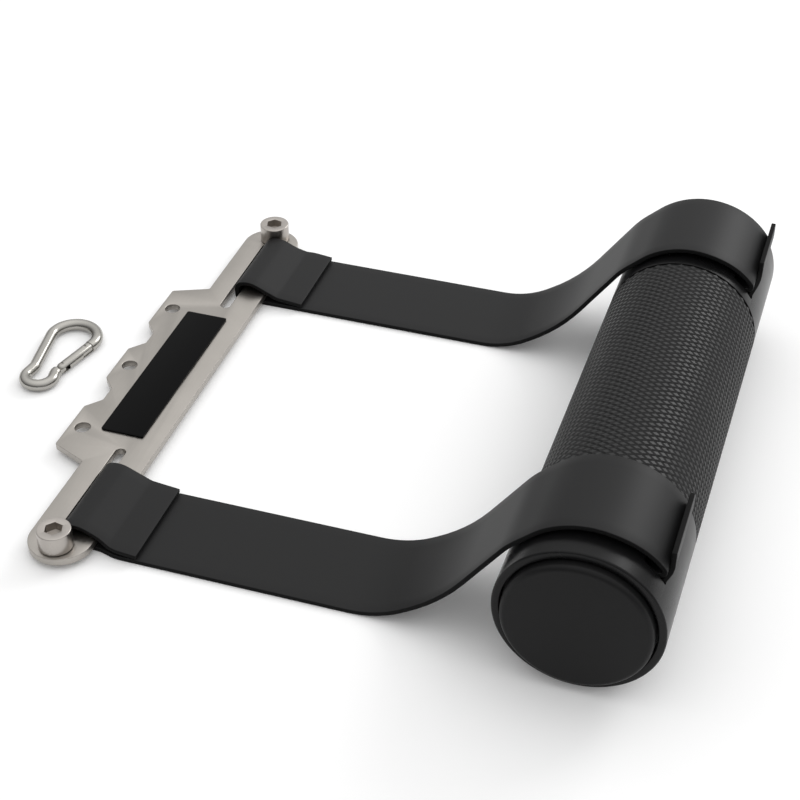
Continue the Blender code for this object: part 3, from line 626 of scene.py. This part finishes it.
def makeStrap(name, node, side, h, s, strapEdges):
    bends, end = strapBends(s, h)
    bm = bmesh.new()
    x, z = s["start"]
    first = [bm.verts.new((x, side * (s["inner"] + strapWidth * i / s["across"]), z))
             for i in range(s["across"] + 1)]
    edges = [bm.edges.new(pair) for pair in zip(first, first[1:])]
    rows = pullAlong(bm, edges, s["start"], bends, end, s["longest"], s["bendStep"])
    shapeRows(bm, rows, side, s, strapEdges)
    whole = link(name, meshFrom(moveTo(bm, toFrame), name))
    wall = whole.modifiers.new("wall", "SOLIDIFY")
    wall.thickness = s["thickness"] / 1000
    wall.offset = 0
    wall.use_even_offset = True
    bevelEdges(whole, s["edgeRound"], segments=3, angle=60)
    halves = ((name + "Loop", "plate", s["plateBlend"], True),
              (name + "Wrap", "handle", s["handleBlend"], False))
    for half, body, (start, stop), keepLow in halves:
        part = bmesh.new()
        part.from_mesh(whole.data)
        bmesh.ops.recalc_face_normals(part, faces=part.faces)
        cut = bmesh.ops.bisect_plane(part, geom=part.verts[:] + part.edges[:] + part.faces[:],
                                     plane_co=(plateEdge + s["split"] / 1000, 0, 0),
                                     plane_no=(1, 0, 0), clear_outer=keepLow,
                                     clear_inner=not keepLow)
        rim = [e for e in cut["geom_cut"] if isinstance(e, bmesh.types.BMEdge)]
        bmesh.ops.contextual_create(part, geom=rim)
        piece = link(half, meshFrom(part, half))
        dressPiece(piece, webbing, None, [node], sharp=50)
        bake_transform(piece)
    bpy.data.objects.remove(whole)


makeStrap("nearStrap", "near_strap", -1, handle, strap, strap["nearEdges"])
makeStrap("farStrap", "far_strap", 1, handle, strap, strap["farEdges"])
print("straps made")


plate = {
    "bottom": 2.1, "thickness": 3.0, "edge": 0.3, "barWidth": 25.0, "barEnd": 118.9,
    "strip": 11.0, "slotWidth": 4.5, "slotInner": 51.8, "slotOuter": 104.7,
    "tabDepth": 15.0, "tabSpacing": 44.2, "centreTab": 21.4, "outerTab": 25.7,
    "notch": (5.4, 6.3), "flank": 6.5, "cornerRadius": 1.2,
    "holeRadius": 3.2, "holeInset": 5.65, "screwInset": 12.2, "screwY": 111.2, "screwHole": 4.0,
    "endSteps": 40, "cornerSteps": 5, "slotSteps": 16, "holeSteps": 40, "screwHoleSteps": 32,
}


def plateOutline(p):
    tabX = -(p["barWidth"] + p["tabDepth"])
    notchX = tabX + p["notch"][0]
    low = p["tabSpacing"] - p["outerTab"] / 2
    high = p["tabSpacing"] + p["outerTab"] / 2
    halfTab = p["centreTab"] / 2
    tabs = [(-p["barWidth"], high + p["flank"]), (tabX, high), (tabX, low),
            (notchX, low - p["notch"][1]), (notchX, halfTab + p["notch"][1]), (tabX, halfTab)]
    tabs += [(x, -y) for x, y in reversed(tabs)]
    r = p["barWidth"] / 2
    top = arcPoints(-r, p["barEnd"] - r, r, 0, pi, p["endSteps"])
    bottom = arcPoints(-r, r - p["barEnd"], r, pi, 2 * pi, p["endSteps"])
    edge = roundedChain([top[-1]] + tabs + [bottom[0]], p["cornerRadius"], p["cornerSteps"])
    return top + edge + bottom


def slotOutline(p, side):
    r = p["slotWidth"] / 2
    x = -(p["strip"] + r)
    points = arcPoints(x, p["slotInner"] + r, r, pi, 2 * pi, p["slotSteps"])
    points += [(x + r, p["slotOuter"]), (x - r, p["slotOuter"])]
    return [(a, side * b) for a, b in points]


def makePlate(p):
    holeX = -(p["barWidth"] + p["tabDepth"]) + p["holeInset"]
    holes = [circlePoints(holeX, y, p["holeRadius"], p["holeSteps"])
             for y in (-p["tabSpacing"], 0, p["tabSpacing"])]
    slots = [slotOutline(p, side) for side in (-1, 1)]
    screwHoles = [circlePoints(-p["screwInset"], side * p["screwY"], p["screwHole"],
                               p["screwHoleSteps"]) for side in (-1, 1)]
    outlines = [plateOutline(p)] + holes + slots + screwHoles
    bm = cutSheet("anchorPlate", outlines, p["bottom"], p["thickness"], p["edge"])
    finishPiece("anchorPlate", bm, plateSteel, "plate", ["anchor_plate"],
                sharp=30)


namePlate = {
    "inset": 8.3, "width": 18.3, "length": 87.0, "bottom": 5.4, "thickness": 0.4,
    "corner": 0.8, "cornerSteps": 6, "edge": 0.08,
}


def makeNamePlate(n):
    x1 = -n["inset"]
    x0 = x1 - n["width"]
    y = n["length"] / 2
    r = n["corner"]
    outline = []
    for cx, cy, start in ((x1 - r, y - r, 0), (x0 + r, y - r, pi / 2), (x0 + r, r - y, pi),
                          (x1 - r, r - y, 1.5 * pi)):
        outline += arcPoints(cx, cy, r, start, start + pi / 2, n["cornerSteps"])
    bm = cutSheet("namePlate", [outline], n["bottom"], n["thickness"], n["edge"], 1)
    finishPiece("namePlate", bm, labelBlack, "plate", ["name_plate"],
                sharp=30)


screw = {
    "radius": 6.5, "height": 8.0, "topRound": 0.45, "footRound": 0.3, "shank": 3.7,
    "shankLength": 3.3, "shankRound": 0.2, "bottom": 5.4, "steps": 96,
    "keyWidth": 6.3, "keyDepth": 3.4, "keyTurn": radians(18), "keyEdge": 0.15,
}


def makeScrew(name, node, side, p, s):
    points = [(0, s["height"], 0), (s["radius"], s["height"], s["topRound"]),
              (s["radius"], 0, s["footRound"]), (s["shank"], 0, 0),
              (s["shank"], -s["shankLength"], s["shankRound"]), (0, -s["shankLength"], 0)]
    place = Matrix.Translation((-p["screwInset"], side * p["screwY"], s["bottom"]))
    bm = moveTo(turnProfile(points, s["steps"]), place)
    obj = finishPiece(name, bm, screwSteel)
    key = rodAt(s["keyWidth"] / sqrt(3), 2 * s["keyDepth"], (0, 0, s["height"]), 6,
                Matrix.Rotation(s["keyTurn"], 4, "Z"))
    cutAway(obj, moveTo(key, place))
    bevelEdges(obj, s["keyEdge"], segments=2, angle=50)
    dressPiece(obj, screwSteel, "plate", [node], sharp=30)


makePlate(plate)
makeNamePlate(namePlate)
makeScrew("nearScrew", "near_cap_screw", -1, plate, screw)
makeScrew("farScrew", "far_cap_screw", 1, plate, screw)
print("plate made")


# The snap hook lies flat; its sizes are in its own frame, its gate along X opening towards +Y
hook = {
    "place": (-65.8, -1.5, 2.5), "turn": radians(76.2), "wire": 2.5, "endRound": 0.35,
    # the wire's bends, as x, y and radius, or as x and radius where they meet the gate's line
    "wideEnd": (14.4, 10.1), "narrowEnd": (-14.9, -1.1, 6.0), "kink": (-11.8, 10.0, 4.8),
    "heelBend": (-8.4, 4.0), "gateLine": -5.0, "rivetX": -5.0, "latchX": 9.8,
    "tongue": (1.8, 3.6), "tongueEdge": 0.12, "hookHead": 2.3, "pin": 0.8, "pinGap": 0.03,
    "gateRadius": 2.35, "gateTip": 2.6, "gateTipRound": 0.3, "gap": 0.3,
    "forkGap": 0.1, "bore": (1.3, 8.5), "longest": 1.2, "bendStep": radians(5), "sides": 28,
    "gateSteps": 40, "gateEndSteps": 10, "tongueSteps": 16, "pinSteps": 24,
}
hookFrame = Matrix.Translation(hook["place"]) @ Matrix.Rotation(hook["turn"], 4, "Z")


def hookTongues(k):
    half = k["tongue"][1] / 2
    line = k["gateLine"]
    heelRoot = k["rivetX"] - k["gateRadius"] - 2 * k["gap"] - k["wire"]
    heel = arcPoints(k["rivetX"], line, half, -pi / 2, pi / 2, k["tongueSteps"])
    heel += [(heelRoot, line + half), (heelRoot, line - half)]
    rivetHole = circlePoints(k["rivetX"], line, k["pin"] + k["pinGap"], k["pinSteps"])
    noseRoot = k["latchX"] + k["gateTip"] + k["gap"] + k["wire"]
    tip = k["latchX"] - k["pin"] - k["hookHead"]
    slack = k["pin"] + k["gap"]
    nose = [(noseRoot, line + half), (k["latchX"] + slack, line + half),
            (k["latchX"] + slack, line - slack), (k["latchX"] - slack - k["gap"], line - slack),
            (k["latchX"] - slack - k["gap"], line + half), (tip, line + half), (tip, line - half),
            (noseRoot, line - half)]
    return [[heel, rivetHole], [nose]]


def makeHookBody(k):
    wide = (k["wideEnd"][0], k["gateLine"] + k["wideEnd"][1], k["wideEnd"][1], 1)
    heelX, heelRadius = k["heelBend"]
    bends = [wide, (*k["kink"], -1), (*k["narrowEnd"], 1),
             (heelX, k["gateLine"] - heelRadius, heelRadius, -1)]
    start = (k["latchX"] + k["gateTip"] + k["gap"], k["gateLine"])
    end = (k["rivetX"] - k["gateRadius"] - 2 * k["gap"], k["gateLine"])
    bm = bmesh.new()
    nose = Matrix.Translation((start[0], 0, start[1])) @ Matrix.Rotation(pi / 2, 4, "Y")
    bmesh.ops.create_circle(bm, radius=k["wire"], segments=k["sides"], matrix=nose)
    pullAlong(bm, bm.edges[:], start, bends, end, k["longest"], k["bendStep"])
    rims = [e for e in bm.edges if e.is_boundary]
    bmesh.ops.holes_fill(bm, edges=rims, sides=0)
    bmesh.ops.bevel(bm, geom=rims, offset=k["endRound"], offset_type="OFFSET", segments=4,
                    profile=0.5, affect="EDGES", material=-1)
    moveTo(bm, hookFrame @ Matrix.Rotation(-pi / 2, 4, "X"))
    body = finishPiece("hookBody", bm, hookSteel)
    for outlines in hookTongues(k):
        tongue = cutSheet("tongue", outlines, -k["tongue"][0] / 2, k["tongue"][0],
                          k["tongueEdge"], 1, hookFrame)
        cutAway(body, tongue, "UNION")
    dressPiece(body, hookSteel, "hook", ["carabiner_body"], sharp=40)


def makeGate(k):
    latch = k["latchX"] - k["rivetX"]
    end = latch + k["gateTip"] + k["gap"] - k["forkGap"]
    r = k["gateRadius"]
    points = [(0, end, 0), (r, end, k["gateTipRound"])]
    points += [(x, z, 0) for x, z in arcPoints(0, 0, r, 0, -pi / 2, k["gateEndSteps"])]
    pivot = hookFrame @ Matrix.Translation((k["rivetX"], k["gateLine"], 0))
    bm = moveTo(turnProfile(points, k["gateSteps"]), pivot @ Matrix.Rotation(pi / 2, 4, "Y"))
    gate = finishPiece("hookGate", bm, hookSteel)
    fork = k["tongue"][0] + 2 * k["forkGap"]
    heelReach = 2 * (r + k["gap"])
    mouth = latch - k["pin"] - k["hookHead"] - 2 * k["gap"]
    reach = 4 * k["gateTip"]
    through = 3 * r
    pinHole = k["pin"] + k["pinGap"]
    steps = k["pinSteps"]
    cuts = [boxAt((heelReach, through, fork), (0, 0, 0)),
            boxAt((reach, through, fork), (mouth + reach / 2, 0, 0)),
            rodAt(pinHole, through, (0, 0, 0), steps),
            rodAt(pinHole, through, (latch, 0, 0), steps),
            rodAt(k["bore"][0], 2 * k["bore"][1], (0, 0, 0), steps,
                  Matrix.Rotation(pi / 2, 4, "Y"))]
    for cut in cuts:
        cutAway(gate, moveTo(cut, pivot))
    mergeCuts(gate)
    dressPiece(gate, hookSteel, "gate", ["carabiner_gate"], sharp=35)


def finishNode(name, material):  # a CAD node that keeps its own mesh
    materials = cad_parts[name].data.materials
    materials.clear()
    materials.append(material)


makeHookBody(hook)
makeGate(hook)
for name in ("gate_rivet", "gate_latch_pin", "gate_plunger", "gate_spring"):
    finishNode(name, pinSteel)
for name in ("near_retaining_rod", "far_retaining_rod"):
    finishNode(name, rodGrey)
print("snap hook and rods made")


studio = {
    "floorHalf": 8.0, "floorDrop": 0.0001, "floorTone": 0.94, "floorGlow": 0.075,
    "skyTop": (0.12, 0.22, 0.97), "skyFrom": (0.0, 0.14), "skyTo": (1.0, 1.42),
    "softbox": (0.98, 1.63, 1.09), "softboxSize": 0.9, "softboxWatts": 11.0,
    "camera": (0.19202, -0.53425, 0.44434), "tilt": radians(52.614), "turn": radians(18.072),
    "sensor": 36, "lens": 79.66,
}


def makeFloor(s):  # it glows a little for the camera and in reflections
    bm = bmesh.new()
    bmesh.ops.create_grid(bm, x_segments=1, y_segments=1, size=s["floorHalf"])
    moveTo(bm, Matrix.Translation((0, 0, -s["floorDrop"])))
    floor = link("floor", meshFrom(bm, "floor"))
    mat = newMaterial("paleFloor", [s["floorTone"]] * 3, metallic=0.0, roughness=0.9, level=0.0)
    tree = mat.node_tree
    ray = tree.nodes.new("ShaderNodeLightPath").outputs
    seen = mathOf(tree, "MAXIMUM", ray["Is Camera Ray"], ray["Is Glossy Ray"])
    seen = mathOf(tree, "MAXIMUM", seen, ray["Is Transmission Ray"])
    glow = nodeOf(mat, "ShaderNodeEmission", Color=(1, 1, 1, 1))
    tree.links.new(mathOf(tree, "MULTIPLY", seen, s["floorGlow"]), glow.inputs["Strength"])
    both = tree.nodes.new("ShaderNodeAddShader")
    tree.links.new(tree.nodes["Principled BSDF"].outputs["BSDF"], both.inputs[0])
    tree.links.new(glow.outputs["Emission"], both.inputs[1])
    tree.links.new(both.outputs["Shader"], tree.nodes["Material Output"].inputs["Surface"])
    floor.data.materials.append(mat)


def makeSky(s):  # a soft white room, lighter above and behind the object
    world = bpy.data.worlds.new("studio")
    bpy.context.scene.world = world
    world.use_nodes = True
    tree = world.node_tree
    coords = tree.nodes.new("ShaderNodeTexCoord")
    towards = tree.nodes.new("ShaderNodeVectorMath")
    towards.operation = "DOT_PRODUCT"
    towards.inputs[1].default_value = Vector(s["skyTop"]).normalized()
    tree.links.new(coords.outputs["Generated"], towards.inputs[0])
    low, high = s["skyFrom"], s["skyTo"]
    level = nodeOf(world, "ShaderNodeMapRange", From_Min=low[0], To_Min=low[1],
                   From_Max=high[0], To_Max=high[1])
    tree.links.new(towards.outputs["Value"], level.inputs["Value"])
    background = tree.nodes["Background"]
    background.inputs["Color"].default_value = (1, 1, 1, 1)
    tree.links.new(level.outputs["Result"], background.inputs["Strength"])


def makeSoftbox(s):
    data = bpy.data.lights.new("softbox", "AREA")
    data.shape = "SQUARE"
    data.size = s["softboxSize"]
    data.energy = s["softboxWatts"]
    lamp = link("softbox", data)
    lamp.location = s["softbox"]
    lamp.rotation_euler = (-Vector(s["softbox"])).to_track_quat("-Z", "Y").to_euler()


def makeCamera(s):
    data = bpy.data.cameras.new("camera")
    data.sensor_width = s["sensor"]
    data.lens = s["lens"]
    camera = link("camera", data)
    camera.location = s["camera"]
    camera.rotation_euler = (s["tilt"], 0, s["turn"])
    bpy.context.scene.camera = camera


makeFloor(studio)
makeSky(studio)
makeSoftbox(studio)
makeCamera(studio)
bpy.context.scene.view_settings.view_transform = "Standard"

print("scene ready")
